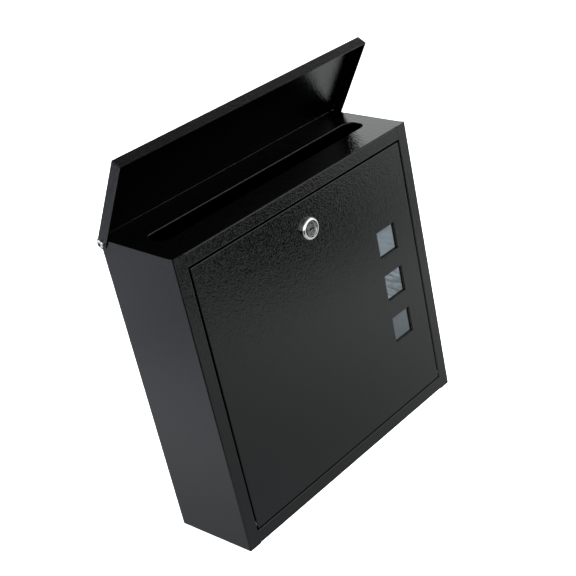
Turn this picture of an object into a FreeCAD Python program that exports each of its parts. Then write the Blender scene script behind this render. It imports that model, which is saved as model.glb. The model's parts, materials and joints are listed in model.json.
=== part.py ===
import FreeCAD, Part
import math
import os
import re

import Sketcher

# A wall mounted mailbox of folded sheet steel: a box with a sloping top, a mail slot under
# a riveted lid, and a flush front door that drops down on two rivets and has a cam lock.
#
# Box frame, used inside the box's own pieces: X across, Y from the front to the back panel's
# outer face at 0, Z up from the underside. The row frame's origin is the centre of the four
# wall holes, on the wall plane, so each piece's Placement takes it from its own frame there.

DIMENSIONS = (
    ("box_width", 370.0, "outside width of the box"),
    ("box_depth", 108.0, "front face to back panel"),
    ("front_height", 347.6, "height at the front face"),
    ("rear_height", 355.7, "height at the back panel"),
    ("sheet", 1.0, "box and door sheet"),
    ("bend", 0.6, "inside radius of a fold"),
    ("opening_half", 168.5, "half width of the door opening"),
    ("opening_bottom", 16.5, "lower edge of the door opening"),
    ("opening_top", 332.0, "upper edge of the door opening"),
    ("lip", 12.0, "depth of the returns at the sides and the bottom"),
    ("top_lip", 16.0, "depth of the return that the cam catches"),
    ("seam", 0.3, "gap beside the top plate's front flange"),
    ("step_length", 8.5, "level stretch of the side walls behind the front"),
    ("tab", 11.0, "depth of the welded tabs"),
    ("tab_end", 16.0, "distance from a tab to the box's corner"),
    ("corner_relief", 0.8, "cut-off corners of the top and bottom plates"),
    ("hole_play", 0.1, "radial play of a set rivet or a nut"),
    ("wall_gap", 4.0, "height of the stand-off bosses"),
    ("hole_centre_height", 178.0, "middle of the wall holes above the underside"),
    ("hole_pitch_across", 280.0, "wall holes, across"),
    ("hole_pitch_up", 240.0, "wall holes, up"),
    ("wall_hole_radius", 3.25, "wall holes"),
    ("boss_base_radius", 16.0, "stand-off boss at the back panel"),
    ("boss_top_radius", 11.0, "stand-off boss at the wall"),
    ("slot_length", 324.4, "mail slot, across"),
    ("slot_front", 69.2, "front edge of the mail slot, from the back"),
    ("slot_rear", 42.2, "rear edge of the mail slot, from the back"),
    ("slot_corner", 10.0, "corner radius of the mail slot"),
    ("slot_lip", 4.0, "depth of the slot's folded rim"),
    ("slot_edge", 1.2, "rounding of the slot's rim"),
    ("drain_radius", 3.0, "drain holes in the bottom"),
    ("drain_pitch", 240.0, "distance between the drain holes"),
    ("lid_sheet", 0.8, "lid sheet"),
    ("lid_half", 186.7, "half width of the lid"),
    ("lid_length", 109.5, "pivot to the lid's front face"),
    ("lid_rear", 1.0, "pivot to the rear edge of the lid's plate"),
    ("lid_rise", 6.5, "pivot to the lid's upper face, and radius of its ears"),
    ("lid_seam", 0.5, "slit between the lid's front and side flanges"),
    ("lid_open_angle", 56.4, "lid above the horizontal as modelled"),
    ("lid_pivot_depth", 4.0, "lid pivot in front of the back panel's face"),
    ("lid_pivot_height", 351.6, "lid pivot above the underside"),
    ("pivot_clearance", 0.05, "radial clearance of a turning rivet joint"),
    ("lid_rivet_radius", 2.0, "shank of the lid rivets"),
    ("lid_rivet_head", 4.6, "head radius of the lid rivets"),
    ("lid_rivet_head_height", 2.4, "head height of the lid rivets"),
    ("lid_rivet_recess", 1.5, "radius of the hollow in the rivet's head"),
    ("rivet_tail", 2.7, "radius of a set rivet's tail"),
    ("rivet_tail_length", 1.5, "length of a set rivet's tail"),
    ("rivet_play", 0.1, "end play beside a turning sheet"),
    ("lid_washer_radius", 4.2, "lid washers"),
    ("lid_washer_thickness", 0.75, "lid washers"),
    ("door_gap", 1.6, "gap between the door and its frame"),
    ("door_fold", 10.0, "depth of the door's folded edges"),
    ("door_pivot_depth", 4.5, "door pivot behind the front face"),
    ("door_pivot_height", 24.0, "door pivot above the underside"),
    ("door_rivet_radius", 2.0, "shank of the door rivets"),
    ("door_rivet_head", 3.0, "head radius of the door rivets"),
    ("door_washer_radius", 3.9, "door washers"),
    ("door_washer_thickness", 1.4, "door washers"),
    ("window_size", 32.5, "side of a window"),
    ("window_pitch", 55.0, "distance between the windows"),
    ("window_across", 119.3, "windows, right of the middle"),
    ("window_height", 173.0, "middle window above the underside"),
    ("pane_margin", 6.0, "pane beyond the windows"),
    ("pane_thickness", 1.5, "window pane"),
    ("tape_thickness", 1.3, "foam tape behind the door"),
    ("tape_setback", 0.2, "foam tape's edge behind a window's edge"),
    ("lock_height", 297.8, "lock axis above the underside"),
    ("lock_head_radius", 12.5, "lock head"),
    ("lock_head_height", 5.0, "lock head in front of the door"),
    ("lock_head_round", 3.2, "rounding of the lock head"),
    ("barrel_radius", 9.4, "threaded barrel of the lock"),
    ("barrel_flat", 8.0, "barrel flats, from the axis"),
    ("barrel_length", 16.0, "barrel behind the door's front face"),
    ("barrel_hole_clearance", 0.2, "door hole round the barrel"),
    ("plug_face_radius", 8.0, "turning face of the lock"),
    ("plug_face_back", 1.9, "rear of the plug's face flange, from the door"),
    ("plug_radius", 6.0, "turning plug of the lock"),
    ("plug_sink", 0.7, "plug face behind the head's front"),
    ("plug_clearance", 0.08, "radial clearance of the plug"),
    ("plug_overhang", 0.2, "plug behind the barrel"),
    ("key_width", 7.0, "keyway, long side"),
    ("key_thickness", 1.7, "keyway, short side"),
    ("key_depth", 15.0, "keyway"),
    ("wafer_count", 5, "wafers in the lock"),
    ("wafer_pitch", 2.4, "distance between the wafers"),
    ("wafer_first", 1.5, "first wafer's front face, from the door"),
    ("wafer_thickness", 0.9, "wafer"),
    ("wafer_half_length", 5.2, "wafer, half length"),
    ("wafer_half_width", 2.8, "wafer, half width"),
    ("wafer_play", 0.1, "clearance of a wafer in its slot"),
    ("wafer_rib", 0.9, "wafer metal beside the key's blade"),
    ("spring_radius", 0.4, "wafer spring, to the wire's middle"),
    ("spring_wire", 0.12, "wafer spring, wire radius"),
    ("spring_length", 4.2, "wafer spring"),
    ("spring_turns", 7, "wafer spring"),
    ("drive_half", 3.5, "half width of the plug's square"),
    ("nut_half", 12.0, "half width of the nut across flats"),
    ("nut_thickness", 4.0, "lock nut"),
    ("stop_radius", 7.6, "stop washer"),
    ("stop_tab", 10.2, "stop washer, to the end of its tab"),
    ("stop_thickness", 1.0, "stop washer"),
    ("cam_length", 42.0, "cam, axis to tip"),
    ("cam_half_width", 8.0, "cam, half width at the axis"),
    ("cam_tip_half", 6.0, "cam, half width at the tip"),
    ("cam_thickness", 1.6, "cam"),
    ("stack_gap", 0.1, "gap between the parts behind the lock"),
    ("spring_washer_radius", 4.4, "spring washer"),
    ("spring_washer_thickness", 0.9, "spring washer"),
    ("screw_radius", 2.0, "cam screw"),
    ("screw_head_radius", 4.0, "cam screw's head"),
    ("screw_head_height", 2.4, "cam screw's head"),
    ("screw_length", 6.0, "cam screw in the plug"),
    ("cross_width", 0.9, "cross recess in the screw"),
    ("cross_length", 4.2, "cross recess in the screw"),
)

SLOPE = "((rear_height - front_height) / box_depth)"
HALF_WIDTH = "box_width / 2"
TOLERANCE = 0.01

doc = FreeCAD.newDocument("mailbox")
sheet = doc.addObject("Spreadsheet::Sheet", "Dim")
for row, (alias, value, note) in enumerate(DIMENSIONS, start=1):
    sheet.set(f"A{row}", alias)
    sheet.set(f"B{row}", str(value))
    sheet.set(f"C{row}", note)
    sheet.setAlias(f"B{row}", alias)
doc.recompute()

ALIASES = re.compile(r"\b(" + "|".join(alias for alias, _, _ in DIMENSIONS) + r")\b")
pieces = []


def bound(text):
    """The expression with each dimension's name pointing into the sheet."""
    return ALIASES.sub(r"Dim.\1", text)


def value_of(text):
    """The expression's number today, for a starting shape and for finding edges."""
    return float(sheet.evalExpression(text))


def top_at(y_text):
    """Height of the sloping top's upper face at a distance y, as an expression."""
    return f"(rear_height + ({y_text}) * {SLOPE})"


# ---------------------------------------------------------------- sketches and features

def origin_plane(body, role):
    return next(item for item in body.Origin.OriginFeatures if item.Role == role)


def new_sketch(body, name, role, level="0"):
    """A sketch on one of the body's origin planes, moved along its normal by level."""
    sketch = body.newObject("Sketcher::SketchObject", name)
    sketch.AttachmentSupport = [(origin_plane(body, role), "")]
    sketch.MapMode = "FlatFace"
    if level != "0":
        sketch.setExpression("AttachmentOffset.Base.z", bound(level))
    return sketch


def tie(sketch, geometry, point, where):
    """Bind one point of a sketch to a pair of expressions."""
    for kind, text in zip(("DistanceX", "DistanceY"), where):
        index = sketch.addConstraint(
            Sketcher.Constraint(kind, -1, 1, geometry, point, value_of(text)))
        sketch.setExpression(f"Constraints[{index}]", bound(text))


def add_outline(sketch, corners):
    """A closed run of straight sides through corners, each a pair of expressions."""
    first = sketch.GeometryCount
    points = [FreeCAD.Vector(value_of(x), value_of(y), 0) for x, y in corners]
    count = len(points)
    for index in range(count):
        following = points[(index + 1) % count]
        sketch.addGeometry(Part.LineSegment(points[index], following), False)
    for index in range(count):
        sketch.addConstraint(Sketcher.Constraint(
            "Coincident", first + index, 2, first + (index + 1) % count, 1))
        tie(sketch, first + index, 1, corners[index])


def add_circle(sketch, centre, radius):
    """A circle whose centre and radius are expressions."""
    middle = FreeCAD.Vector(value_of(centre[0]), value_of(centre[1]), 0)
    circle = sketch.addGeometry(
        Part.Circle(middle, FreeCAD.Vector(0, 0, 1), value_of(radius)), False)
    tie(sketch, circle, 3, centre)
    index = sketch.addConstraint(Sketcher.Constraint("Radius", circle, value_of(radius)))
    sketch.setExpression(f"Constraints[{index}]", bound(radius))


def add_rounded(sketch, half_length, low, high, radius):
    """An oblong centred on the sketch's Y axis, with four tangent corner arcs."""
    half, bottom, top, corner = [value_of(text) for text in (half_length, low, high, radius)]
    runs = (((-half + corner, bottom), (half - corner, bottom)),
            ((half, bottom + corner), (half, top - corner)),
            ((half - corner, top), (-half + corner, top)),
            ((-half, top - corner), (-half, bottom + corner)))
    for start, stop in runs:
        sketch.addGeometry(Part.LineSegment(FreeCAD.Vector(*start, 0),
                                            FreeCAD.Vector(*stop, 0)), False)
    middles = ((half - corner, bottom + corner), (half - corner, top - corner),
               (-half + corner, top - corner), (-half + corner, bottom + corner))
    for number, middle in enumerate(middles):
        start = (number - 1) * math.pi / 2
        sketch.addGeometry(Part.ArcOfCircle(
            Part.Circle(FreeCAD.Vector(*middle, 0), FreeCAD.Vector(0, 0, 1), corner),
            start, start + math.pi / 2), False)
    for number in range(4):
        arc, following = 4 + number, (number + 1) % 4
        sketch.addConstraint(Sketcher.Constraint("Tangent", number, 2, arc, 1))
        sketch.addConstraint(Sketcher.Constraint("Tangent", arc, 2, following, 1))
        sketch.addConstraint(Sketcher.Constraint(
            "Vertical" if number % 2 else "Horizontal", number))
    for kind, line, text in (("DistanceY", 0, low), ("DistanceX", 1, half_length),
                             ("DistanceY", 2, high), ("DistanceX", 3, f"-({half_length})")):
        index = sketch.addConstraint(
            Sketcher.Constraint(kind, -1, 1, line, 1, value_of(text)))
        sketch.setExpression(f"Constraints[{index}]", bound(text))
    for arc in range(4, 8):
        index = sketch.addConstraint(Sketcher.Constraint("Radius", arc, corner))
        sketch.setExpression(f"Constraints[{index}]", bound(radius))


def outline(body, name, role, corners, level="0"):
    sketch = new_sketch(body, name, role, level)
    add_outline(sketch, corners)
    return sketch


def rectangle(left, bottom, right, top):
    """Corners of an upright rectangle from four expressions."""
    return [(left, bottom), (right, bottom), (right, top), (left, top)]


def circle(body, name, role, centre, radius, level="0"):
    sketch = new_sketch(body, name, role, level)
    add_circle(sketch, centre, radius)
    return sketch


def pad(body, sketch, length, symmetric=False):
    """Raise a sketch along its plane's normal, or to both sides of it."""
    feature = body.newObject("PartDesign::Pad", sketch.Name + "_pad")
    feature.Profile = sketch
    if symmetric:
        feature.SideType = "Symmetric"
    feature.setExpression("Length", bound(length))
    doc.recompute()
    return feature


def cut(body, sketch, length, symmetric=False, along_normal=False):
    """Remove a sketch's prism, and make sure that it met the solid."""
    before = body.Shape.Volume
    feature = body.newObject("PartDesign::Pocket", sketch.Name + "_cut")
    feature.Profile = sketch
    feature.Reversed = along_normal
    if symmetric:
        feature.SideType = "Symmetric"
    feature.setExpression("Length", bound(length))
    doc.recompute()
    if body.Shape.Volume > before - TOLERANCE:
        raise RuntimeError(f"{feature.Name} removes nothing")
    return feature


def revolve(body, sketch, axis):
    """Turn a sketch once round its own horizontal or vertical axis."""
    feature = body.newObject("PartDesign::Revolution", sketch.Name + "_turned")
    feature.Profile = sketch
    feature.ReferenceAxis = (sketch, [axis])
    feature.Angle = 360
    doc.recompute()
    return feature


def solid_of(body, kind, name, sizes, base, rotation):
    """An additive or subtractive PartDesign primitive with bound sizes and place."""
    feature = body.newObject(f"PartDesign::{kind}", name)
    for size, text in sizes.items():
        feature.setExpression(size, bound(text))
    feature.Placement = FreeCAD.Placement(FreeCAD.Vector(), rotation)
    for axis, text in zip("xyz", base):
        feature.setExpression(f"Placement.Base.{axis}", bound(text))
    doc.recompute()
    return feature


def round_edges(body, name, radius, wanted):
    """Fillet every edge of the body so far that the function wanted picks."""
    base = body.Tip
    names = [f"Edge{index}" for index, edge in enumerate(base.Shape.Edges, start=1)
             if wanted(edge)]
    if not names:
        raise RuntimeError(f"{name} finds no edge")
    feature = body.newObject("PartDesign::Fillet", name)
    feature.Base = (base, names)
    feature.setExpression("Radius", bound(radius))
    doc.recompute()
    return feature


def near(first, second):
    return abs(first - second) < TOLERANCE


def trim_corners(body):
    """Chamfer a plate's corners clear of the folds of the sheet wrapped round it."""
    base = body.Tip
    wanted = line_through("Z", spots((f"{HALF_WIDTH} - sheet", "-sheet"),
                                     (f"{HALF_WIDTH} - sheet", "-box_depth + sheet")))
    feature = body.newObject("PartDesign::Chamfer", "corner_reliefs")
    feature.Base = (base, [f"Edge{index}" for index, edge
                           in enumerate(base.Shape.Edges, start=1) if wanted(edge)])
    feature.setExpression("Size", bound("corner_relief"))
    doc.recompute()


def line_through(axis, places):
    """A test for straight edges along an axis through any of the places.

    Edges along X are centred ones, and the others count on both sides of the middle.
    """
    others = [other for other in "XYZ" if other != axis]

    def wanted(edge):
        box = edge.BoundBox
        if any(getattr(box, f"{other}Length") > TOLERANCE for other in others):
            return False
        here = [getattr(box.Center, other.lower()) for other in others]
        if axis == "X" and not near(box.Center.x, 0):
            return False
        if others[0] == "X":
            here[0] = abs(here[0])
        return any(near(here[0], spot[0]) and near(here[1], spot[1]) for spot in places)

    return wanted


def ring_at(axis, place, radius):
    """A test for round edges about an axis at one place along it."""
    def wanted(edge):
        if not isinstance(edge.Curve, Part.Circle) or not near(edge.Curve.Radius, radius):
            return False
        return (near(getattr(edge.Curve.Center, axis), place)
                and abs(getattr(edge.Curve.Axis, axis)) > 1 - TOLERANCE)

    return wanted


def spots(*pairs):
    return [(value_of(first), value_of(second)) for first, second in pairs]


# ------------------------------------------------------------------------- placing pieces

def new_body(name):
    body = doc.addObject("PartDesign::Body", name)
    body.Label = name
    pieces.append(body)
    return body


def place(piece, base, axis=(0, 0, 1), angle=None):
    """Put a piece's own frame into the row frame; base is in the box frame."""
    turn = FreeCAD.Rotation()
    if angle is not None:
        turn = FreeCAD.Rotation(FreeCAD.Vector(*axis), value_of(angle))
    piece.Placement = FreeCAD.Placement(FreeCAD.Vector(), turn)
    if angle is not None:
        piece.setExpression("Placement.Rotation.Angle", bound(angle))
    across, depth, height = base
    piece.setExpression("Placement.Base.x", bound(across))
    piece.setExpression("Placement.Base.y", bound(f"{depth} - wall_gap"))
    piece.setExpression("Placement.Base.z", bound(f"{height} - hole_centre_height"))


# -------------------------------------------------------------------------------- the box

def make_body_shell():
    """Back, both sides, the front's side flanges and their returns, folded from one sheet."""
    body = new_body("body_shell")
    right_outer = [("opening_half", "-box_depth + lip"), ("opening_half", "-box_depth"),
                   (HALF_WIDTH, "-box_depth"), (HALF_WIDTH, "0")]
    right_inner = [(f"{HALF_WIDTH} - sheet", "-sheet"),
                   (f"{HALF_WIDTH} - sheet", "-box_depth + sheet"),
                   ("opening_half + sheet", "-box_depth + sheet"),
                   ("opening_half + sheet", "-box_depth + lip")]
    left_outer = [(f"-({x})", y) for x, y in reversed(right_outer)]
    left_inner = [(f"-({x})", y) for x, y in reversed(right_inner)]
    section = outline(body, "wrap_section", "XY_Plane",
                      right_outer + left_outer + left_inner + right_inner)
    pad(body, section, "rear_height")

    step_height = top_at("-box_depth + step_length")
    slope = outline(body, "slope", "YZ_Plane", [
        ("0", "rear_height"), ("wall_gap", "rear_height"),
        ("wall_gap", "rear_height + sheet"), ("-box_depth - sheet", "rear_height + sheet"),
        ("-box_depth - sheet", step_height), ("-box_depth + step_length", step_height)])
    cut(body, slope, "box_width + 2 * sheet", symmetric=True)
    for name, low, high in (("upper_return_end", "opening_top", "rear_height + sheet"),
                            ("lower_return_end", "-sheet", "opening_bottom")):
        relief = outline(body, name, "YZ_Plane", rectangle(
            "-box_depth + sheet", low, "-box_depth + lip + sheet", high))
        cut(body, relief, "2 * opening_half + 4 * sheet", symmetric=True)

    backwards = FreeCAD.Rotation(FreeCAD.Vector(1, 0, 0), -90)
    for across in (-1, 1):
        for up in (-1, 1):
            tag = f"{'left' if across < 0 else 'right'}_{'lower' if up < 0 else 'upper'}"
            x_text = f"{across} * hole_pitch_across / 2"
            z_text = f"hole_centre_height + {up} * hole_pitch_up / 2"
            solid_of(body, "AdditiveCone", f"boss_{tag}",
                     {"Radius1": "boss_base_radius", "Radius2": "boss_top_radius",
                      "Height": "wall_gap"}, (x_text, "0", z_text), backwards)
            solid_of(body, "SubtractiveCone", f"hollow_{tag}",
                     {"Radius1": "boss_base_radius - sheet / 2",
                      "Radius2": "boss_top_radius - sheet / 2",
                      "Height": "wall_gap"}, (x_text, "-sheet", z_text), backwards)
            solid_of(body, "SubtractiveCylinder", f"wall_hole_{tag}",
                     {"Radius": "wall_hole_radius", "Height": "3 * wall_gap"},
                     (x_text, "-wall_gap", z_text), backwards)

    lid_pivot = circle(body, "lid_pivot_holes", "YZ_Plane",
                       ("-lid_pivot_depth", "lid_pivot_height"),
                       "lid_rivet_radius + hole_play")
    cut(body, lid_pivot, "box_width + 2 * sheet", symmetric=True)
    door_pivot = circle(body, "door_pivot_holes", "YZ_Plane",
                        ("-box_depth + door_pivot_depth", "door_pivot_height"),
                        "door_rivet_radius + hole_play")
    cut(body, door_pivot, "2 * opening_half + 4 * sheet", symmetric=True)

    round_edges(body, "outer_folds", "bend + sheet", line_through("Z", spots(
        (HALF_WIDTH, "0"), (HALF_WIDTH, "-box_depth"), ("opening_half", "-box_depth"))))
    round_edges(body, "inner_folds", "bend", line_through("Z", spots(
        (f"{HALF_WIDTH} - sheet", "-sheet"), (f"{HALF_WIDTH} - sheet", "-box_depth + sheet"),
        ("opening_half + sheet", "-box_depth + sheet"))))
    square_ends = new_sketch(body, "square_flange_ends", "XZ_Plane", "box_depth - sheet")
    for left, right in (("-opening_half - 2 * sheet", "-opening_half"),
                        ("opening_half", "opening_half + 2 * sheet")):
        add_outline(square_ends, rectangle(left, "0", right, "opening_bottom"))
        add_outline(square_ends, rectangle(left, "opening_top", right, step_height))
    pad(body, square_ends, "sheet")
    round_edges(body, "boss_rims", "sheet", lambda edge: (
        ring_at("y", value_of("wall_gap"), value_of("boss_top_radius"))(edge)
        or ring_at("y", 0, value_of("boss_base_radius"))(edge)))
    place(body, ("0", "0", "0"))


def add_side_tabs(body, name, lower, upper):
    """Two tabs against the side walls between two heights, each a function of y."""
    front, rear = "-box_depth + tab_end", "-tab_end"
    for side, level in (("left", f"-({HALF_WIDTH} - sheet)"),
                        ("right", f"{HALF_WIDTH} - 2 * sheet")):
        tab = outline(body, f"{name}_{side}", "YZ_Plane", [
            (front, lower(front)), (rear, lower(rear)), (rear, upper(rear)),
            (front, upper(front))], level)
        pad(body, tab, "sheet")


def make_top_plate():
    """The sloping top with the mail slot, the front flange and the return behind it."""
    body = new_body("top_plate")
    rear, front = "-sheet", "-box_depth + sheet"
    plate = outline(body, "plate_section", "YZ_Plane", [
        (rear, top_at(rear)), (front, top_at(front)), (front, f"{top_at(front)} - sheet"),
        (rear, f"{top_at(rear)} - sheet")])
    pad(body, plate, "box_width - 2 * sheet", symmetric=True)
    rear_tab = outline(body, "rear_tab", "YZ_Plane", rectangle(
        "-2 * sheet", "rear_height - tab", rear, "rear_height - sheet"))
    pad(body, rear_tab, "2 * opening_half", symmetric=True)
    flange = outline(body, "flange_section", "YZ_Plane", [
        (front, top_at(front)), ("-box_depth", "front_height"), ("-box_depth", "opening_top"),
        ("-box_depth + top_lip", "opening_top"),
        ("-box_depth + top_lip", "opening_top + sheet"), (front, "opening_top + sheet")])
    pad(body, flange, "2 * (opening_half - seam)", symmetric=True)
    add_side_tabs(body, "top_tab", lambda y: f"{top_at(y)} - tab",
                  lambda y: f"{top_at(y)} - sheet / 2")

    slot_half = "slot_length / 2"
    rim_front, rim_rear = "-slot_front - sheet", "-slot_rear + sheet"
    rim = outline(body, "rim_section", "YZ_Plane", [
        (rim_rear, f"{top_at(rim_rear)} - sheet / 2"),
        (rim_front, f"{top_at(rim_front)} - sheet / 2"),
        (rim_front, f"{top_at(rim_front)} - slot_lip"),
        (rim_rear, f"{top_at(rim_rear)} - slot_lip")])
    pad(body, rim, "slot_length + 2 * sheet", symmetric=True)
    round_edges(body, "rim_corners", "slot_corner + sheet", line_through("Z", spots(
        (f"{slot_half} + sheet", rim_front), (f"{slot_half} + sheet", rim_rear))))
    slot = new_sketch(body, "slot", "XY_Plane", "rear_height")
    add_rounded(slot, slot_half, "-slot_front", "-slot_rear", "slot_corner")
    cut(body, slot, "rear_height - opening_top - 2 * sheet")

    def on_slot_rim(edge):
        box = edge.BoundBox
        middle = edge.valueAt((edge.FirstParameter + edge.LastParameter) / 2)
        on_top = abs(middle.z - value_of(top_at(f"({middle.y})"))) < TOLERANCE
        inside = (box.YMin > value_of("-slot_front") - TOLERANCE
                  and box.YMax < value_of("-slot_rear") + TOLERANCE
                  and abs(middle.x) < value_of(slot_half) + TOLERANCE)
        return on_top and inside

    round_edges(body, "rolled_rim", "slot_edge", on_slot_rim)
    round_edges(body, "outer_folds", "bend + sheet", line_through("X", spots(
        ("-box_depth", "front_height"), ("-box_depth", "opening_top"))))
    round_edges(body, "inner_folds", "bend", line_through("X", spots(
        (front, "opening_top + sheet"), (front, f"{top_at(front)} - sheet"))))
    trim_corners(body)
    place(body, ("0", "0", "0"))


def make_bottom_plate():
    """The floor of the box with its front flange, return, tabs and drain holes."""
    body = new_body("bottom_plate")
    front = "-box_depth + sheet"
    plate = outline(body, "plate_section", "YZ_Plane", rectangle(
        front, "0", "-sheet", "sheet"))
    pad(body, plate, "box_width - 2 * sheet", symmetric=True)
    rear_tab = outline(body, "rear_tab", "YZ_Plane", rectangle(
        "-2 * sheet", "sheet / 2", "-sheet", "tab"))
    pad(body, rear_tab, "2 * opening_half", symmetric=True)
    flange = outline(body, "flange_section", "YZ_Plane", [
        (front, "0"), ("-box_depth", "0"), ("-box_depth", "opening_bottom"),
        ("-box_depth + lip", "opening_bottom"),
        ("-box_depth + lip", "opening_bottom - sheet"), (front, "opening_bottom - sheet")])
    pad(body, flange, "2 * opening_half", symmetric=True)
    add_side_tabs(body, "bottom_tab", lambda y: "sheet / 2", lambda y: "tab")
    drains = new_sketch(body, "drains", "XY_Plane", "sheet")
    for side in (-1, 1):
        add_circle(drains, (f"{side} * drain_pitch / 2", "-box_depth / 2"), "drain_radius")
    cut(body, drains, "2 * sheet")
    round_edges(body, "outer_folds", "bend + sheet", line_through("X", spots(
        ("-box_depth", "0"), ("-box_depth", "opening_bottom"))))
    round_edges(body, "inner_folds", "bend", line_through("X", spots(
        (front, "sheet"), (front, "opening_bottom - sheet"))))
    trim_corners(body)
    place(body, ("0", "0", "0"))


# -------------------------------------------------------------------------------- the lid

def add_ear_outline(sketch):
    """A lid ear's side view: straight edges from the tray, closed by half a circle."""
    tray_end, reach = value_of("-lid_rear"), value_of("lid_rise")
    corners = [FreeCAD.Vector(0, -reach, 0), FreeCAD.Vector(tray_end, -reach, 0),
               FreeCAD.Vector(tray_end, reach, 0), FreeCAD.Vector(0, reach, 0)]
    for start, stop in zip(corners, corners[1:]):
        sketch.addGeometry(Part.LineSegment(start, stop), False)
    sketch.addGeometry(Part.ArcOfCircle(
        Part.Circle(FreeCAD.Vector(), FreeCAD.Vector(0, 0, 1), reach),
        -math.pi / 2, math.pi / 2), False)
    lower, end, upper, ear = range(4)
    for first, first_end, second, second_end in ((lower, 2, end, 1), (end, 2, upper, 1),
                                                 (upper, 2, ear, 2), (ear, 1, lower, 1)):
        sketch.addConstraint(Sketcher.Constraint("Coincident", first, first_end,
                                                 second, second_end))
    sketch.addConstraint(Sketcher.Constraint("Coincident", ear, 3, -1, 1))
    tie(sketch, upper, 1, ("-lid_rear", "lid_rise"))
    sketch.addConstraint(Sketcher.Constraint("Horizontal", upper))
    sketch.addConstraint(Sketcher.Constraint("Horizontal", lower))
    sketch.addConstraint(Sketcher.Constraint("Vertical", end))
    sketch.addConstraint(Sketcher.Constraint("Vertical", upper, 2, lower, 1))


def make_lid():
    """A shallow tray over the slot. Its own frame has X along the pivot and the front at -Y."""
    body = new_body("lid")
    tray = outline(body, "tray", "YZ_Plane", rectangle(
        "-lid_length", "-lid_rise", "-lid_rear", "lid_rise"))
    pad(body, tray, "2 * lid_half", symmetric=True)
    inner_half = "(lid_half - lid_sheet)"
    inner_front, inner_top = "-lid_length + lid_sheet", "lid_rise - lid_sheet"
    inside = outline(body, "inside", "YZ_Plane", rectangle(
        inner_front, "-2 * lid_rise", "0", inner_top))
    cut(body, inside, f"2 * {inner_half}", symmetric=True)

    def fold(half, front, height):
        """A test for the upper edges of the front and of the sides."""
        places = [value_of(text) for text in (half, front, height)]

        def wanted(edge):
            box = edge.BoundBox
            level = near(box.ZMin, places[2]) and near(box.ZMax, places[2])
            return level and (near(box.YMax, places[1])
                              or (box.XLength < TOLERANCE
                                  and near(abs(box.Center.x), places[0])))

        return wanted

    round_edges(body, "outer_folds", "lid_sheet + bend",
                fold("lid_half", "-lid_length", "lid_rise"))
    round_edges(body, "inner_folds", "bend", fold(inner_half, inner_front, inner_top))
    slit_back = f"{inner_front} + lid_seam"
    for side, left, right in (("left", "-lid_half - lid_sheet", f"-{inner_half}"),
                              ("right", inner_half, "lid_half + lid_sheet")):
        slit = outline(body, f"slit_{side}", "XY_Plane", rectangle(
            left, inner_front, right, slit_back), "-2 * lid_rise")
        cut(body, slit, "3 * lid_rise - 2 * lid_sheet - bend", along_normal=True)
    for side, level in (("left", "-lid_half"), ("right", inner_half)):
        ear = new_sketch(body, f"ear_{side}", "YZ_Plane", level)
        add_ear_outline(ear)
        pad(body, ear, "lid_sheet")
    pivot = circle(body, "pivot_holes", "YZ_Plane", ("0", "0"),
                   "lid_rivet_radius + pivot_clearance")
    cut(body, pivot, "2 * lid_half + 2 * lid_sheet", symmetric=True)
    place(body, ("0", "-lid_pivot_depth", "lid_pivot_height"), (1, 0, 0), "-lid_open_angle")


def make_rivet(name, tail_start, head_start, head_end, shank, head, recess=None):
    """A set rivet turned about X: tail, shank and head, with an optional hollow."""
    body = new_body(name)
    low, high = sorted((head_start, head_end), key=value_of)
    outward = value_of(head_end) > value_of(tail_start)
    tail_end = f"{tail_start} {'-' if outward else '+'} rivet_tail_length"
    profile = outline(body, "half_section", "XY_Plane", [
        (tail_end, "0"), (tail_end, "rivet_tail"), (tail_start, "rivet_tail"),
        (tail_start, shank), (head_start, shank), (head_start, head), (head_end, head),
        (head_end, "0")])
    revolve(body, profile, "H_Axis")
    if recess:
        hollow = circle(body, "hollow", "YZ_Plane", ("0", "0"), recess, head_end)
        cut(body, hollow, f"0.7 * (({high}) - ({low}))")
    round_edges(body, "head_round", f"0.5 * (({high}) - ({low}))",
                ring_at("x", value_of(head_end), value_of(head)))
    return body


def make_washer(name, inner, outer, start, end):
    """A flat washer about X between two places."""
    body = new_body(name)
    ring = new_sketch(body, "ring", "YZ_Plane", start)
    add_circle(ring, ("0", "0"), outer)
    add_circle(ring, ("0", "0"), inner)
    pad(body, ring, f"({end}) - ({start})")
    return body


def make_lid_rivets():
    """A rivet and a washer at each ear. Their own frame starts at the side wall's outer face."""
    ear_face = f"lid_half - {HALF_WIDTH}"
    for side, sign, turn in (("left", "-", "180"), ("right", "", "0")):
        base = (f"{sign}{HALF_WIDTH}", "-lid_pivot_depth", "lid_pivot_height")
        rivet = make_rivet(f"lid_rivet_{side}", "-sheet", f"{ear_face} + rivet_play",
                           f"{ear_face} + rivet_play + lid_rivet_head_height",
                           "lid_rivet_radius", "lid_rivet_head", "lid_rivet_recess")
        place(rivet, base, angle=turn)
        washer = make_washer(f"lid_washer_{side}", "lid_rivet_radius + pivot_clearance",
                             "lid_washer_radius", "0", "lid_washer_thickness")
        place(washer, base, angle=turn)


# ------------------------------------------------------------------------------- the door

DOOR_HALF = "opening_half - door_gap"
DOOR_BOTTOM = "opening_bottom + door_gap"
DOOR_TOP = "opening_top - door_gap"


def window_middles():
    """Centres of the three windows, from the lowest up."""
    return [("window_across", f"window_height + {step} * window_pitch") for step in (-1, 0, 1)]


def add_squares(sketch, size):
    for across, height in window_middles():
        add_outline(sketch, rectangle(
            f"{across} - ({size}) / 2", f"{height} - ({size}) / 2",
            f"{across} + ({size}) / 2", f"{height} + ({size}) / 2"))


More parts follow.
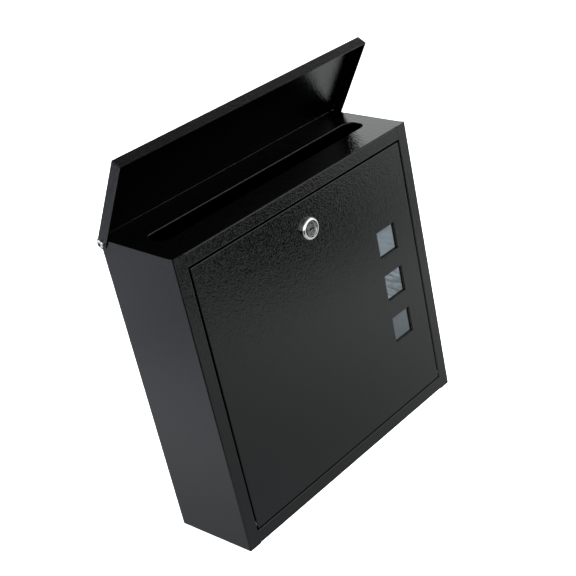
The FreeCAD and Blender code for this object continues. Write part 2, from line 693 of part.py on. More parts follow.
def add_barrel_outline(sketch, clearance):
    """The lock barrel's section: a circle with two flats, as two lines and two arcs."""
    radius = value_of(f"barrel_radius + {clearance}")
    flat = value_of(f"barrel_flat + {clearance}")
    corner = math.acos(flat / radius)
    rise = radius * math.sin(corner)
    centre = FreeCAD.Vector(0, value_of("lock_height"), 0)
    first = sketch.GeometryCount
    for start, stop in ((corner, math.pi - corner), (math.pi + corner, 2 * math.pi - corner)):
        sketch.addGeometry(Part.ArcOfCircle(
            Part.Circle(centre, FreeCAD.Vector(0, 0, 1), radius), start, stop), False)
    for x in (-flat, flat):
        sketch.addGeometry(Part.LineSegment(centre + FreeCAD.Vector(x, rise, 0),
                                            centre + FreeCAD.Vector(x, -rise, 0)), False)
    upper, lower, left, right = range(first, first + 4)
    for a, a_end, b, b_end in ((upper, 2, left, 1), (left, 2, lower, 1),
                               (lower, 2, right, 2), (right, 1, upper, 1)):
        sketch.addConstraint(Sketcher.Constraint("Coincident", a, a_end, b, b_end))
    sketch.addConstraint(Sketcher.Constraint("Vertical", left))
    sketch.addConstraint(Sketcher.Constraint("Vertical", right))
    sketch.addConstraint(Sketcher.Constraint("Coincident", upper, 3, lower, 3))
    tie(sketch, upper, 3, ("0", "lock_height"))
    for kind, target, text in (("Radius", (upper,), f"barrel_radius + {clearance}"),
                               ("DistanceX", (-1, 1, right, 1), f"barrel_flat + {clearance}"),
                               ("DistanceX", (left, 1, -1, 1), f"barrel_flat + {clearance}")):
        index = sketch.addConstraint(Sketcher.Constraint(kind, *target, value_of(text)))
        sketch.setExpression(f"Constraints[{index}]", bound(text))


def make_door():
    """A folded tray with three windows, the lock's hole and two pivot holes."""
    body = new_body("door")
    front = outline(body, "front_outline", "XZ_Plane", rectangle(
        f"-({DOOR_HALF})", DOOR_BOTTOM, DOOR_HALF, DOOR_TOP), "box_depth - door_fold")
    pad(body, front, "door_fold")
    inside = outline(body, "inside", "XZ_Plane", rectangle(
        f"-({DOOR_HALF}) + sheet", f"{DOOR_BOTTOM} + sheet", f"{DOOR_HALF} - sheet",
        f"{DOOR_TOP} - sheet"), "box_depth - door_fold")
    cut(body, inside, "door_fold - sheet", along_normal=True)
    windows = new_sketch(body, "windows", "XZ_Plane", "box_depth")
    add_squares(windows, "window_size")
    cut(body, windows, "2 * sheet")
    barrel = new_sketch(body, "lock_hole", "XZ_Plane", "box_depth")
    add_barrel_outline(barrel, "barrel_hole_clearance")
    cut(body, barrel, "2 * sheet")
    pivot = circle(body, "pivot_holes", "YZ_Plane",
                   ("-box_depth + door_pivot_depth", "door_pivot_height"),
                   "door_rivet_radius + pivot_clearance")
    cut(body, pivot, "2 * opening_half", symmetric=True)

    front_face = value_of("-box_depth")
    half, low, high = value_of(DOOR_HALF), value_of(DOOR_BOTTOM), value_of(DOOR_TOP)
    round_edges(body, "corner_folds", "bend + sheet", lambda edge: (
        edge.BoundBox.YLength > value_of("door_fold") - TOLERANCE
        and near(abs(edge.BoundBox.Center.x), half)))
    round_edges(body, "front_folds", "bend + sheet / 2", lambda edge: (
        near(edge.BoundBox.YMin, front_face) and near(edge.BoundBox.YMax, front_face)
        and (near(edge.BoundBox.ZMin, low) or near(edge.BoundBox.ZMax, high)
             or near(abs(edge.BoundBox.Center.x), half))))
    round_edges(body, "inner_folds", "bend", lambda edge: (
        near(edge.BoundBox.YMin, front_face + value_of("sheet")) and edge.Length > 2 * low
        and edge.BoundBox.YLength < TOLERANCE and (
            near(edge.BoundBox.ZMax, low + value_of("sheet"))
            or near(edge.BoundBox.ZMin, high - value_of("sheet"))
            or near(abs(edge.BoundBox.Center.x), half - value_of("sheet")))))
    place(body, ("0", "0", "0"))


def make_window_pieces():
    """One clear strip behind the three windows, and the foam tape that holds it."""
    half = "(window_size / 2 + pane_margin)"
    strip = rectangle(f"window_across - {half}", f"window_height - window_pitch - {half}",
                      f"window_across + {half}", f"window_height + window_pitch + {half}")
    tape = new_body("window_tape")
    pad(tape, outline(tape, "strip", "XZ_Plane", strip, "box_depth - sheet - tape_thickness"),
        "tape_thickness")
    openings = new_sketch(tape, "openings", "XZ_Plane", "box_depth")
    add_squares(openings, "window_size + 2 * tape_setback")
    cut(tape, openings, "sheet + 2 * tape_thickness")
    pane = new_body("window_pane")
    pad(pane, outline(pane, "strip", "XZ_Plane", strip,
                      "box_depth - sheet - tape_thickness - pane_thickness"),
        "pane_thickness")
    for piece in (tape, pane):
        place(piece, ("0", "0", "0"))


def make_door_rivets():
    """A rivet and a washer at each side. Their own frame starts at the return's inner face."""
    fold_face = "-door_gap - sheet"
    for side, sign, turn in (("left", "-", "180"), ("right", "", "0")):
        base = (f"{sign}opening_half", "-box_depth + door_pivot_depth", "door_pivot_height")
        rivet = make_rivet(f"door_rivet_{side}", "sheet", f"{fold_face} - rivet_play",
                           f"{fold_face} - rivet_play - rivet_tail_length",
                           "door_rivet_radius", "door_rivet_head")
        place(rivet, base, angle=turn)
        washer = make_washer(f"door_washer_{side}", "door_rivet_radius + pivot_clearance",
                             "door_washer_radius", "-door_washer_thickness", "0")
        place(washer, base, angle=turn)


# ------------------------------------------------------------------------------- the lock
# The lock's own frame starts on its axis at the door's front face, with Y into the box.

PLUG_END = "(barrel_length + plug_overhang)"
STOP_START = f"({PLUG_END} + stack_gap)"
CAM_START = f"({STOP_START} + stop_thickness + stack_gap)"
WASHER_START = f"({CAM_START} + cam_thickness + stack_gap)"
SCREW_START = f"({WASHER_START} + spring_washer_thickness)"
KEY_FACE = "(-lock_head_height + plug_sink)"


def place_in_lock(piece):
    place(piece, ("0", "-box_depth", "lock_height"))


def make_lock_housing():
    """The fixed part of the lock: a rounded head in front and a barrel with two flats."""
    body = new_body("lock_housing")
    face_bore = "plug_face_radius + plug_clearance"
    bore = "plug_radius + plug_clearance"
    profile = outline(body, "half_section", "XY_Plane", [
        (face_bore, "-lock_head_height"), ("lock_head_radius", "-lock_head_height"),
        ("lock_head_radius", "0"), ("barrel_radius", "0"), ("barrel_radius", "barrel_length"),
        (bore, "barrel_length"), (bore, "-plug_face_back + plug_clearance"),
        (face_bore, "-plug_face_back + plug_clearance")])
    revolve(body, profile, "V_Axis")
    for side, left, right in (("left", "-lock_head_radius", "-barrel_flat"),
                              ("right", "barrel_flat", "lock_head_radius")):
        flat = outline(body, f"flat_{side}", "XY_Plane", rectangle(
            left, "0", right, "barrel_length + sheet"))
        cut(body, flat, "2 * lock_head_radius", symmetric=True)
    round_edges(body, "head_round", "lock_head_round",
                ring_at("y", value_of("-lock_head_height"), value_of("lock_head_radius")))
    place_in_lock(body)


def make_lock_plug():
    """The turning part: a face, a round plug with wafer slots, and a square for the cam."""
    body = new_body("lock_plug")
    profile = outline(body, "half_section", "XY_Plane", [
        ("0", KEY_FACE), ("plug_face_radius", KEY_FACE),
        ("plug_face_radius", "-plug_face_back"), ("plug_radius", "-plug_face_back"),
        ("plug_radius", PLUG_END), ("0", PLUG_END)])
    revolve(body, profile, "V_Axis")
    square = outline(body, "square", "XZ_Plane", rectangle(
        "-drive_half", "-drive_half", "drive_half", "drive_half"), f"-{WASHER_START}")
    pad(body, square, f"{WASHER_START} - {PLUG_END} + sheet")
    keyway = outline(body, "keyway", "XZ_Plane", rectangle(
        "-key_width / 2", "-key_thickness / 2", "key_width / 2", "key_thickness / 2"),
        f"-({KEY_FACE})")
    cut(body, keyway, "key_depth")
    slots = new_sketch(body, "wafer_slots", "XY_Plane", "-wafer_half_width - wafer_play")
    for number in range(int(value_of("wafer_count"))):
        start = f"wafer_first + {number} * wafer_pitch - wafer_play"
        add_outline(slots, rectangle(
            "-plug_face_radius", start, "plug_face_radius",
            f"{start} + wafer_thickness + 2 * wafer_play"))
    cut(body, slots, "2 * wafer_half_width + 2 * wafer_play + 2.6 * spring_radius",
        along_normal=True)
    screw_hole = circle(body, "screw_hole", "XZ_Plane", ("0", "0"), "screw_radius",
                        f"-{WASHER_START}")
    cut(body, screw_hole, "screw_length", along_normal=True)
    round_edges(body, "face_round", "plug_clearance * 5",
                ring_at("y", value_of(KEY_FACE), value_of("plug_face_radius")))
    place_in_lock(body)


def make_wafers():
    """The wafers as they stand with the key in, each a plate with a window for the blade."""
    wafers = new_body("lock_wafers")
    for number in range(int(value_of("wafer_count"))):
        level = f"-(wafer_first + {number} * wafer_pitch + wafer_thickness)"
        plate = new_sketch(wafers, f"wafer_{number + 1}", "XZ_Plane", level)
        add_outline(plate, rectangle("-wafer_half_length", "-wafer_half_width",
                                     "wafer_half_length", "wafer_half_width"))
        add_outline(plate, rectangle(
            "-key_width / 2", "-wafer_half_width + wafer_rib", "key_width / 2",
            "wafer_half_width - wafer_rib"))
        wafers.AllowCompound = True
        pad(wafers, plate, "wafer_thickness")
    place_in_lock(wafers)


def make_wafer_springs():
    """One small coil spring beside each wafer, along the way that the wafer slides."""
    turns, length = value_of("spring_turns"), value_of("spring_length")
    coil_radius, wire_radius = value_of("spring_radius"), value_of("spring_wire")
    height = value_of("wafer_half_width") + 1.2 * coil_radius + wire_radius
    coils = []
    for number in range(int(value_of("wafer_count"))):
        helix = Part.makeHelix(length / turns, length, coil_radius)
        start = helix.Edges[0].valueAt(helix.Edges[0].FirstParameter)
        wire = Part.Wire(Part.makeCircle(wire_radius, start, FreeCAD.Vector(0, 1, 0)))
        coil = Part.Wire(helix.Edges).makePipeShell([wire], True, True)
        middle = value_of(f"wafer_first + {number} * wafer_pitch + wafer_thickness / 2")
        coil.Placement = FreeCAD.Placement(
            FreeCAD.Vector(-length / 2, middle, height),
            FreeCAD.Rotation(FreeCAD.Vector(0, 1, 0), 90))
        coils.append(coil)
    springs = doc.addObject("Part::Feature", "lock_wafer_springs")
    springs.Label = "lock_wafer_springs"
    springs.Shape = Part.makeCompound(coils)
    pieces.append(springs)
    place_in_lock(springs)


def make_lock_nut():
    """The hexagon nut that clamps the barrel in the door."""
    body = new_body("lock_nut")
    sketch = new_sketch(body, "hexagon", "XZ_Plane", "-(sheet + nut_thickness)")
    point = f"nut_half / {math.sqrt(3) / 2:.6f}"
    across = [f"{point} * cos({60 * step} deg)" for step in range(6)]
    up = [f"{point} * sin({60 * step} deg)" for step in range(6)]
    add_outline(sketch, list(zip(across, up)))
    add_circle(sketch, ("0", "0"), "barrel_radius + hole_play")
    pad(body, sketch, "nut_thickness")
    place_in_lock(body)


def make_lock_stack():
    """Behind the plug: stop washer, cam, spring washer and screw, all on its square."""
    stop = new_body("lock_stop_washer")
    disc = new_sketch(stop, "disc", "XZ_Plane", f"-({STOP_START} + stop_thickness)")
    add_circle(disc, ("0", "0"), "stop_radius")
    pad(stop, disc, "stop_thickness")
    tab = outline(stop, "tab", "XZ_Plane", rectangle(
        "-stop_tab", "-drive_half", "0", "drive_half"), f"-({STOP_START} + stop_thickness)")
    pad(stop, tab, "stop_thickness")

    cam = new_body("lock_cam")
    blade = outline(cam, "blade", "XZ_Plane", [
        ("0", "-cam_half_width"), ("cam_length", "-cam_tip_half"),
        ("cam_length", "cam_tip_half"), ("0", "cam_half_width")],
        f"-({CAM_START} + cam_thickness)")
    pad(cam, blade, "cam_thickness")
    pad(cam, circle(cam, "eye", "XZ_Plane", ("0", "0"), "cam_half_width",
                    f"-({CAM_START} + cam_thickness)"), "cam_thickness")
    round_edges(cam, "tip_corners", "cam_tip_half / 2", lambda edge: (
        near(edge.BoundBox.XMin, value_of("cam_length"))
        and edge.BoundBox.ZLength < TOLERANCE))

    for body in (stop, cam):
        hole = outline(body, "square_hole", "XZ_Plane", rectangle(
            "-drive_half - stack_gap / 2", "-drive_half - stack_gap / 2",
            "drive_half + stack_gap / 2", "drive_half + stack_gap / 2"))
        cut(body, hole, "2 * barrel_length")

    washer = new_body("lock_spring_washer")
    ring = new_sketch(washer, "ring", "XZ_Plane",
                      f"-({WASHER_START} + spring_washer_thickness)")
    add_circle(ring, ("0", "0"), "spring_washer_radius")
    add_circle(ring, ("0", "0"), "screw_radius + stack_gap")
    pad(washer, ring, "spring_washer_thickness")
    split = outline(washer, "split", "XZ_Plane", rectangle(
        "0", "-spring_washer_thickness / 3", "2 * spring_washer_radius",
        "spring_washer_thickness / 3"))
    cut(washer, split, "2 * barrel_length")

    screw = new_body("lock_cam_screw")
    profile = outline(screw, "half_section", "XY_Plane", [
        ("0", f"{WASHER_START} - screw_length + 2 * stack_gap"),
        ("screw_radius - stack_gap / 2", f"{WASHER_START} - screw_length + 2 * stack_gap"),
        ("screw_radius - stack_gap / 2", SCREW_START), ("screw_head_radius", SCREW_START),
        ("screw_head_radius", f"{SCREW_START} + screw_head_height"),
        ("0", f"{SCREW_START} + screw_head_height")])
    revolve(screw, profile, "V_Axis")
    for name, wide, tall in (("cross_flat", "cross_length", "cross_width"),
                             ("cross_upright", "cross_width", "cross_length")):
        recess = outline(screw, name, "XZ_Plane", rectangle(
            f"-{wide} / 2", f"-{tall} / 2", f"{wide} / 2", f"{tall} / 2"),
            f"-({SCREW_START} + screw_head_height)")
        cut(screw, recess, "screw_head_height * 0.6", along_normal=True)
    round_edges(screw, "head_round", "screw_head_height / 2", ring_at(
        "y", value_of(f"{SCREW_START} + screw_head_height"), value_of("screw_head_radius")))
    for piece in (stop, cam, washer, screw):
        place_in_lock(piece)


# ------------------------------------------------------------------------ build and export

make_body_shell()
make_top_plate()
make_bottom_plate()
make_lid()
make_lid_rivets()
make_door()
make_window_pieces()
make_door_rivets()
make_lock_housing()
make_lock_plug()
make_wafers()
make_wafer_springs()
make_lock_nut()
make_lock_stack()
doc.recompute()

for item in doc.Objects:
    if "Invalid" in item.State or "Error" in item.State:
        raise RuntimeError(f"{item.Label} failed: {item.State}")
for piece in pieces:
    if piece.Shape.isNull() or not piece.Shape.isValid():
        raise RuntimeError(f"{piece.Label} has no valid shape")

os.makedirs("parts", exist_ok=True)
for piece in pieces:
    piece.Shape.exportStep(f"parts/{piece.Label}.step")
    box = piece.Shape.BoundBox
    print(f"{piece.Label:22s} solids {len(piece.Shape.Solids)}  volume {piece.Shape.Volume:10.1f}"
          f"  x {box.XMin:8.2f} {box.XMax:8.2f}  y {box.YMin:8.2f} {box.YMax:8.2f}"
          f"  z {box.ZMin:8.2f} {box.ZMax:8.2f}")
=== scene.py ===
import json

import bpy
from mathutils import Matrix, Vector


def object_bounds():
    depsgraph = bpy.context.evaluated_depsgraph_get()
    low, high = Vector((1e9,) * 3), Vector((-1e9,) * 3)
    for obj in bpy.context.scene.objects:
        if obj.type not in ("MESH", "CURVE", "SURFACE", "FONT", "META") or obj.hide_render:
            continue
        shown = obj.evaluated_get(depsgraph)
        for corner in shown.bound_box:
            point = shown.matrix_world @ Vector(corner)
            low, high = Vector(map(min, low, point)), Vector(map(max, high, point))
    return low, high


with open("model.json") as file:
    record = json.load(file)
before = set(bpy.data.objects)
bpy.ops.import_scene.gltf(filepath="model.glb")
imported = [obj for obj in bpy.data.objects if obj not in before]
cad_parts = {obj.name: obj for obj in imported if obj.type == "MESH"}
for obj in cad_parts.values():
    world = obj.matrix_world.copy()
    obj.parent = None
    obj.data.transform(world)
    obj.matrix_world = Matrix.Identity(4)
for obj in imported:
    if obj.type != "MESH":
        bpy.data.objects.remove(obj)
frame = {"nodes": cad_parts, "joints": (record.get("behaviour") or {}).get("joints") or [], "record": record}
nodes = frame["nodes"]
cad_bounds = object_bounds()
underside = cad_bounds[0][2]

NOISE_SPREAD = (0.3, 0.7)             # most of a noise texture's values lie between these


# ------------------------------------------------------------------ node helpers

class Graph:
    """Short calls for building one node tree."""

    def __init__(self, tree, coordinates):
        self.tree = tree
        self.place = self.add("ShaderNodeTexCoord").outputs[coordinates]

    def add(self, kind):
        return self.tree.nodes.new(kind)

    def give(self, socket, value):
        """Link a socket to another node's output, or set it to a constant."""
        if isinstance(value, bpy.types.NodeSocket):
            self.tree.links.new(value, socket)
        else:
            socket.default_value = value

    def axis(self, name):
        """One coordinate: X, Y or Z."""
        node = self.add("ShaderNodeSeparateXYZ")
        self.give(node.inputs["Vector"], self.place)
        return node.outputs[name]

    def mapped(self, setting, values, vector=None):
        """Coordinates with a Scale or a Rotation: the tree's own, if none are given."""
        node = self.add("ShaderNodeMapping")
        node.inputs[setting].default_value = values
        self.give(node.inputs["Vector"], vector or self.place)
        return node.outputs["Vector"]

    def distance(self, point, vector=None):
        node = self.add("ShaderNodeVectorMath")
        node.operation = "DISTANCE"
        node.inputs[1].default_value = point
        self.give(node.inputs[0], vector or self.place)
        return node.outputs["Value"]

    def noise(self, scale, detail=2.0, rough=0.5, vector=None):
        node = self.add("ShaderNodeTexNoise")
        node.inputs["Scale"].default_value = scale
        node.inputs["Detail"].default_value = detail
        node.inputs["Roughness"].default_value = rough
        self.give(node.inputs["Vector"], vector or self.place)
        return node.outputs["Fac"]

    def cells(self, scale, smooth):
        """Rounded cells: low in the middle of a cell, high at its border."""
        node = self.add("ShaderNodeTexVoronoi")
        node.feature = "SMOOTH_F1"
        node.inputs["Scale"].default_value = scale
        node.inputs["Smoothness"].default_value = smooth
        self.give(node.inputs["Vector"], self.place)
        return node.outputs["Distance"]

    def math(self, operation, *values):
        node = self.add("ShaderNodeMath")
        node.operation = operation
        for socket, value in zip(node.inputs, values):
            self.give(socket, value)
        return node.outputs["Value"]

    def span(self, value, low, high, to_low, to_high):
        """Carry a value from one range to another, held inside it."""
        node = self.add("ShaderNodeMapRange")
        for socket, number in zip(node.inputs[1:5], (low, high, to_low, to_high)):
            socket.default_value = number
        self.give(node.inputs["Value"], value)
        return node.outputs["Result"]

    def smooth(self, value, low, high, to_low, to_high):
        """The same, eased at both ends."""
        result = self.span(value, low, high, to_low, to_high)
        result.node.interpolation_type = "SMOOTHSTEP"
        return result

    def ramp(self, value, stops):
        """A colour ramp from (position, colour) pairs."""
        node = self.add("ShaderNodeValToRGB")
        elements = node.color_ramp.elements
        while len(elements) < len(stops):
            elements.new(0.5)
        for element, (position, colour) in zip(elements, stops):
            element.position = position
            element.color = (*colour, 1.0)
        self.give(node.inputs["Fac"], value)
        return node.outputs["Color"]

    def blend(self, value, first, second, between=NOISE_SPREAD):
        """A colour that goes from the first to the second as the value crosses a range."""
        return self.ramp(value, list(zip(between, (first, second))))

    def multiplied(self, first, second):
        """The product of two colours."""
        node = self.add("ShaderNodeMixRGB")
        node.blend_type = "MULTIPLY"
        node.inputs["Fac"].default_value = 1.0
        self.give(node.inputs["Color1"], first)
        self.give(node.inputs["Color2"], second)
        return node.outputs["Color"]


class Material(Graph):
    """A new material with one shader, and the calls that feed it."""

    def __init__(self, name, shader="ShaderNodeBsdfPrincipled"):
        self.material = bpy.data.materials.new(name)
        self.material.use_nodes = True
        self.material.node_tree.nodes.clear()
        super().__init__(self.material.node_tree, "Object")
        self.shader = self.add(shader)
        output = self.add("ShaderNodeOutputMaterial")
        self.give(output.inputs["Surface"], self.shader.outputs[0])

    def set(self, **values):
        """Constants or other nodes' outputs for the shader's sockets."""
        for key, value in values.items():
            self.give(self.shader.inputs[key.replace("_", " ")], value)

    def bump(self, height, strength, distance):
        node = self.add("ShaderNodeBump")
        node.inputs["Strength"].default_value = strength
        node.inputs["Distance"].default_value = distance
        self.give(node.inputs["Height"], height)
        self.set(Normal=node.outputs["Normal"])


def grey(level):
    return (level, level, level)


def dimmed(tint, factor):
    return tuple(channel * factor for channel in tint)


# ------------------------------------------------------------------ materials

def powder_coat(name):
    """Black powder coat with a fine leathery grain. Most of what it shows is reflection."""
    g = Material(name)
    drift = g.noise(9.0, detail=3.0)
    islands = g.cells(500.0, smooth=1.0)
    pebbles = g.noise(560.0, detail=1.0, rough=0.4)
    grain = g.math("MULTIPLY_ADD", islands, -0.35, pebbles)
    g.set(Base_Color=g.blend(drift, (0.00005, 0.00005, 0.0000515), (0.0002, 0.0002, 0.000204)),
          Roughness=g.span(pebbles, *NOISE_SPREAD, 0.08, 0.14),
          IOR=1.5, Specular_IOR_Level=0.5)
    g.bump(grain, 1.0, 0.0003)
    return g.material


def chrome(name, tint, low, high, scratches=0.02):
    """Plated metal with faint polishing marks and a little haze."""
    g = Material(name)
    haze = g.noise(240.0, detail=4.0)
    marks = g.noise(90.0, detail=5.0, rough=0.7,
                    vector=g.mapped("Scale", (1.0, 30.0, 30.0)))
    g.set(Metallic=1.0,
          Base_Color=g.blend(haze, dimmed(tint, 0.93), tint, (0.35, 0.65)),
          Roughness=g.span(haze, *NOISE_SPREAD, low, high))
    g.bump(marks, scratches, 0.0001)
    return g.material


def plain_metal(name, tint):
    """Bare stamped or drawn metal with stains."""
    g = Material(name)
    streaks = g.noise(300.0, detail=5.0, rough=0.65)
    stains = g.noise(45.0, detail=4.0)
    g.set(Metallic=1.0,
          Base_Color=g.blend(stains, dimmed(tint, 0.82), tint),
          Roughness=g.span(streaks, *NOISE_SPREAD, 0.25, 0.4))
    g.bump(streaks, 0.1, 0.0001)
    return g.material


def zinc_plate(name):
    """Bright plated steel. The hollow in the lid rivets' heads is darkened with painted shade."""
    g = Material(name)
    haze = g.noise(260.0, detail=4.0)
    lid_axis = next(joint["pos_m"] for joint in frame["joints"] if joint["name"] == "lid_hinge")
    reach = 0.004
    off_axis = g.distance((0.0, *lid_axis[1:]), g.mapped("Scale", (0.0, 1.0, 1.0)))
    # painted shade: a dark ring round the rivet axis, where the head's hollow lies in shade
    painted_hollow_shade = g.ramp(g.span(off_axis, 0.0, reach, 0.0, 1.0),
                    [(0.12, grey(1.0)), (0.2, grey(0.02)), (0.42, grey(0.02)), (0.52, grey(1.0))])
    plate = g.blend(haze, (0.9, 0.9, 0.89), (0.98, 0.98, 0.97))
    g.set(Metallic=1.0,
          Base_Color=g.multiplied(plate, painted_hollow_shade),
          Roughness=g.span(haze, *NOISE_SPREAD, 0.05, 0.12))
    g.bump(haze, 0.05, 0.0001)
    return g.material


def moulded_nylon(name):
    g = Material(name)
    mottle = g.noise(400.0, detail=4.0)
    g.set(Base_Color=g.blend(mottle, grey(0.02), grey(0.035)),
          Roughness=g.span(mottle, *NOISE_SPREAD, 0.4, 0.55))
    g.bump(mottle, 0.15, 0.0001)
    return g.material


def foam(name):
    g = Material(name)
    pores = g.cells(1400.0, smooth=0.3)
    g.set(Base_Color=g.blend(pores, grey(0.012), grey(0.03), (0.1, 0.6)), Roughness=0.85)
    g.bump(pores, 0.6, 0.0004)
    return g.material


WINDOW_PITCH = 0.055
RIGHT_SHADOW_LINE = (0.0129, 0.0137)         # right of a window's middle: the painted shadow line fades in
FOOT_SHADOW_LINE = (-0.0147, -0.0139)        # below a window's middle: the painted shadow line fades out
STREAKS_FOOT = (-0.021, -0.011)       # above the pane's middle: the streaks fade in
STREAKS_TOP = (0.021, 0.045)          # and nearly out again
STREAK_SLANT = 0.93                   # radians
PANE_REACH = 0.065                    # the pane is darkest this far below its middle


def pane_middle():
    """The middle of the window pane, which is the middle of the second window."""
    pane = nodes["window_pane"]
    corners = [pane.matrix_world @ Vector(corner) for corner in pane.bound_box]
    return sum(corners, Vector()) / len(corners)


def window_sheet(name):
    """Grey-blue acrylic sheet, darker downwards, with slanting streaks at mid height
    and a painted shadow line at the right and at the foot of each window, the shade of the door sheet's
    edge."""
    g = Material(name)
    middle = pane_middle()
    across = g.math("SUBTRACT", g.axis("X"), middle.x)
    height = g.math("SUBTRACT", g.axis("Z"), middle.z)

    turned = g.mapped("Rotation", (0.0, STREAK_SLANT, 0.0))
    slanted = g.mapped("Scale", (8.0, 1.0, 1.0), turned)
    streaks = g.noise(42.0, detail=4.0, rough=0.6, vector=slanted)
    band = g.math("MULTIPLY", g.smooth(height, *STREAKS_FOOT, 0.0, 1.0),
                  g.smooth(height, *STREAKS_TOP, 1.0, 0.25))
    drawn = g.math("MULTIPLY", g.math("SUBTRACT", streaks, 0.5), band)
    cloud = g.noise(22.0, detail=3.0)
    slope = g.smooth(height, -PANE_REACH, PANE_REACH, 0.36, 0.55)
    shade = g.math("MULTIPLY_ADD", drawn, 1.1, slope)
    shade = g.math("MULTIPLY_ADD", g.math("SUBTRACT", cloud, 0.5), 0.25, shade)

    # painted shadow: a dark line along each window's right side and foot, the shade cast by the door sheet's
    # cut edge
    from_foot = g.math("FLOORED_MODULO", g.math("ADD", height, WINDOW_PITCH / 2), WINDOW_PITCH)
    rise = g.math("SUBTRACT", from_foot, WINDOW_PITCH / 2)
    painted_edge_shadow = g.math("MAXIMUM", g.smooth(across, *RIGHT_SHADOW_LINE, 0.0, 1.0),
                  g.smooth(rise, *FOOT_SHADOW_LINE, 1.0, 0.0))
    shade = g.math("MULTIPLY", shade, g.math("SUBTRACT", 1.0, painted_edge_shadow))

    colour = g.ramp(shade, [(0.1, grey(0.002)), (0.3, (0.03, 0.039, 0.043)),
                            (0.45, (0.06, 0.074, 0.082)), (0.7, (0.125, 0.15, 0.178))])
    g.set(Base_Color=colour, Roughness=g.span(cloud, *NOISE_SPREAD, 0.08, 0.18),
          IOR=1.49, Specular_IOR_Level=0.5)
    g.bump(cloud, 0.04, 0.0006)
    return g.material


materials = {
    "black_steel": powder_coat("black_steel"),
    "lid_black_steel": powder_coat("lid_black_steel"),
    "door_black_steel": powder_coat("door_black_steel"),
    "plated_steel": zinc_plate("plated_steel"),
    "lock_chrome": chrome("lock_chrome", grey(0.96), 0.03, 0.08),
    "lock_plug_chrome": chrome("lock_plug_chrome", (0.72, 0.72, 0.71), 0.12, 0.24, 0.1),
    "lock_brass": plain_metal("lock_brass", (0.72, 0.52, 0.22)),
    "spring_steel": plain_metal("spring_steel", (0.4, 0.4, 0.41)),
    "nylon": moulded_nylon("nylon"),
    "window_acrylic": window_sheet("window_acrylic"),
    "foam_tape": foam("foam_tape"),
}

for part in frame["record"]["subparts"]:
    slots = nodes[part["node"]].data.materials
    slots.clear()
    slots.append(materials[part["material_slot"]])


# ------------------------------------------------------------------ stage

FLOOR_HALF = 3.0
FLOOR_LEVEL = underside - 0.15        # the open door reaches 0.13 m below the box
BACKDROP_HALF = 8.0
CARD_HALF = 6.0
CARD_LEVEL = underside - 0.002

# The card's glow is a sum of slopes: an axis, a stretch of it, and the glow at both its ends.
CARD_SLOPES = (
    ("X", -0.05, 0.45, 0.44, 0.74),
    ("X", -0.34, -0.15, 0.28, 0.0),
    ("Y", -0.45, -0.15, 0.08, 0.0),
)

# Dim patches in it: middle x and y, radius of the core, radius where the patch ends,
# and the share of the glow that is left in the core.
CARD_PATCHES = (
    (0.49, -0.75, 0.09, 0.37, 0.0),
    (0.30, -0.80, 0.03, 0.32, 0.7),
    (-0.64, 0.38, 0.03, 0.28, 0.68),
    (-0.95, 1.02, 0.03, 0.45, 0.4),
)


def add_stage(name, corners, faces, material):
    mesh = bpy.data.meshes.new(name)
    mesh.from_pydata(corners, [], faces)
    mesh.materials.append(material)
    thing = bpy.data.objects.new(name, mesh)
    bpy.context.scene.collection.objects.link(thing)
    return thing


def add_plane(name, half, level, material):
    corners = [(-half, -half, level), (half, -half, level),
               (half, half, level), (-half, half, level)]
    return add_stage(name, corners, [(0, 1, 2, 3)], material)


def hide_from(thing, *rays):
    for ray in rays:
        setattr(thing, f"visible_{ray}", False)


def add_floor():
    """A pale floor under the open door. The gloss doesn't show it, but the card instead."""
    g = Material("studio_floor")
    grain = g.noise(30.0, detail=4.0)
    g.set(Base_Color=g.blend(grain, grey(0.86), grey(0.88)),
          Roughness=0.7, Specular_IOR_Level=0.2)
    floor = add_plane("floor", FLOOR_HALF, FLOOR_LEVEL, g.material)
    hide_from(floor, "glossy")


def add_backdrop():
    """White walls all round, behind the floor's edge, that only the camera sees."""
    g = Material("backdrop", "ShaderNodeEmission")
    g.set(Strength=2.0)
    ends = (-BACKDROP_HALF, BACKDROP_HALF)
    corners = [(x, y, z) for x in ends for y in ends for z in ends]
    faces = [(0, 1, 3, 2), (4, 5, 7, 6), (0, 1, 5, 4), (2, 3, 7, 6), (0, 2, 6, 4), (1, 3, 7, 5)]
    backdrop = add_stage("backdrop", corners, faces, g.material)
    hide_from(backdrop, "diffuse", "glossy", "transmission", "volume_scatter", "shadow")


def card_material():
    """The card's glow: weaker under the box, stronger to the right, with dim patches and
    a dim corner at the left in front."""
    g = Material("bounce_card", "ShaderNodeEmission")
    glow = 0.0
    for axis, *stretch in CARD_SLOPES:
        glow = g.math("ADD", glow, g.smooth(g.axis(axis), *stretch))
    for x, y, core, reach, left in CARD_PATCHES:
        gap = g.distance((x, y, CARD_LEVEL))
        glow = g.math("MULTIPLY", glow, g.smooth(gap, core, reach, left, 1.0))
    corner = g.math("MULTIPLY", g.smooth(g.axis("X"), -0.30, -0.20, 0.92, 0.0),
                    g.smooth(g.axis("Y"), -0.26, -0.16, 1.0, 0.0))
    glow = g.math("MULTIPLY", glow, g.math("SUBTRACT", 1.0, corner))
    g.set(Strength=glow,
          Color=g.blend(g.smooth(g.axis("X"), -0.6, 0.2, 0.0, 1.0),
                        (0.93, 0.97, 1.06), (0.97, 1.0, 1.0), (0.0, 1.0)))
    return g.material


def add_bounce_card():
    """A glowing card at the box's underside that shows only in gloss."""
    card = add_plane("bounce_card", CARD_HALF, CARD_LEVEL, card_material())
    hide_from(card, "camera", "diffuse", "transmission", "shadow")


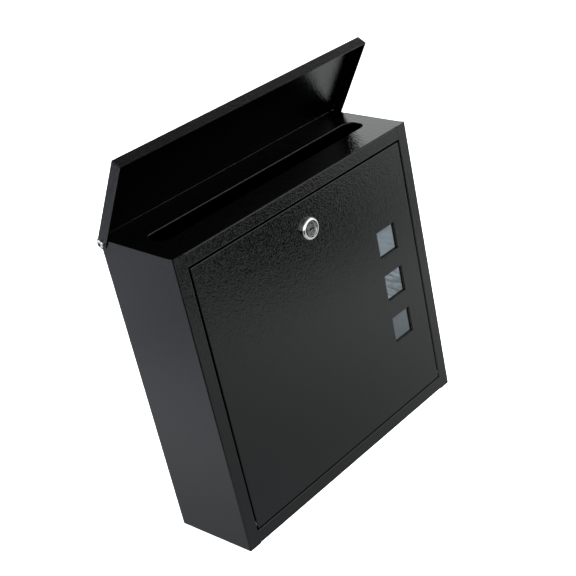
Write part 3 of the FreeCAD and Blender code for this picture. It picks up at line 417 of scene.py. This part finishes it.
def add_world():
    """White behind, a dimmer ceiling, and a dim room in front that is brighter low down."""
    world = bpy.data.worlds.new("studio")
    world.use_nodes = True
    background = world.node_tree.nodes["Background"]
    g = Graph(world.node_tree, "Generated")
    ahead = g.axis("Y")
    ceiling = g.smooth(g.axis("Z"), 0.50, 0.80, 1.0, 0.26)
    room = g.smooth(ahead, -0.1, 0.35, 0.5, 1.35)
    low_front = g.smooth(ahead, -0.5, -0.25, 0.9, 0.0)
    g.give(background.inputs["Strength"],
           g.math("MULTIPLY", ceiling, g.math("ADD", room, low_front)))
    background.inputs["Color"].default_value = (0.98, 0.99, 1.0, 1.0)
    bpy.context.scene.world = world


def add_overhead():
    """A wide soft lamp that faces straight down and doesn't show in gloss."""
    lamp = bpy.data.lights.new("overhead", "AREA")
    lamp.shape = "RECTANGLE"
    lamp.size = 6.0
    lamp.size_y = 6.0
    lamp.energy = 620.0
    overhead = bpy.data.objects.new("overhead", lamp)
    overhead.location = (0.5, 0.6, 3.0)
    overhead.rotation_euler = Vector((0.0, 0.0, -1.0)).to_track_quat("-Z", "Y").to_euler()
    hide_from(overhead, "glossy")
    bpy.context.scene.collection.objects.link(overhead)


# The photograph's viewpoint in the part's frame, solved from the box's straight edges.
CAMERA_PLACE = (-0.8049, -0.9340, 0.5919)
CAMERA_RIGHT = (0.654214, -0.729222, -0.200598)
CAMERA_FORWARD = (0.614217, 0.667033, -0.421669)
SENSOR_WIDTH = 36.0                   # mm, as the lens
LENS = 73.348


def add_camera():
    """A camera at that viewpoint. Its right direction carries the roll."""
    right = Vector(CAMERA_RIGHT).normalized()
    forward = Vector(CAMERA_FORWARD)
    forward = (forward - right * forward.dot(right)).normalized()
    up = right.cross(forward)
    data = bpy.data.cameras.new("camera")
    data.sensor_width = SENSOR_WIDTH
    data.lens = LENS
    camera = bpy.data.objects.new("camera", data)
    turn = Matrix((right, up, -forward)).transposed().to_4x4()
    camera.matrix_world = Matrix.Translation(CAMERA_PLACE) @ turn
    bpy.context.scene.collection.objects.link(camera)
    bpy.context.scene.camera = camera


add_floor()
add_backdrop()
add_bounce_card()
add_world()
add_overhead()
add_camera()
view = bpy.context.scene.view_settings
view.view_transform = "Standard"
view.look = "None"
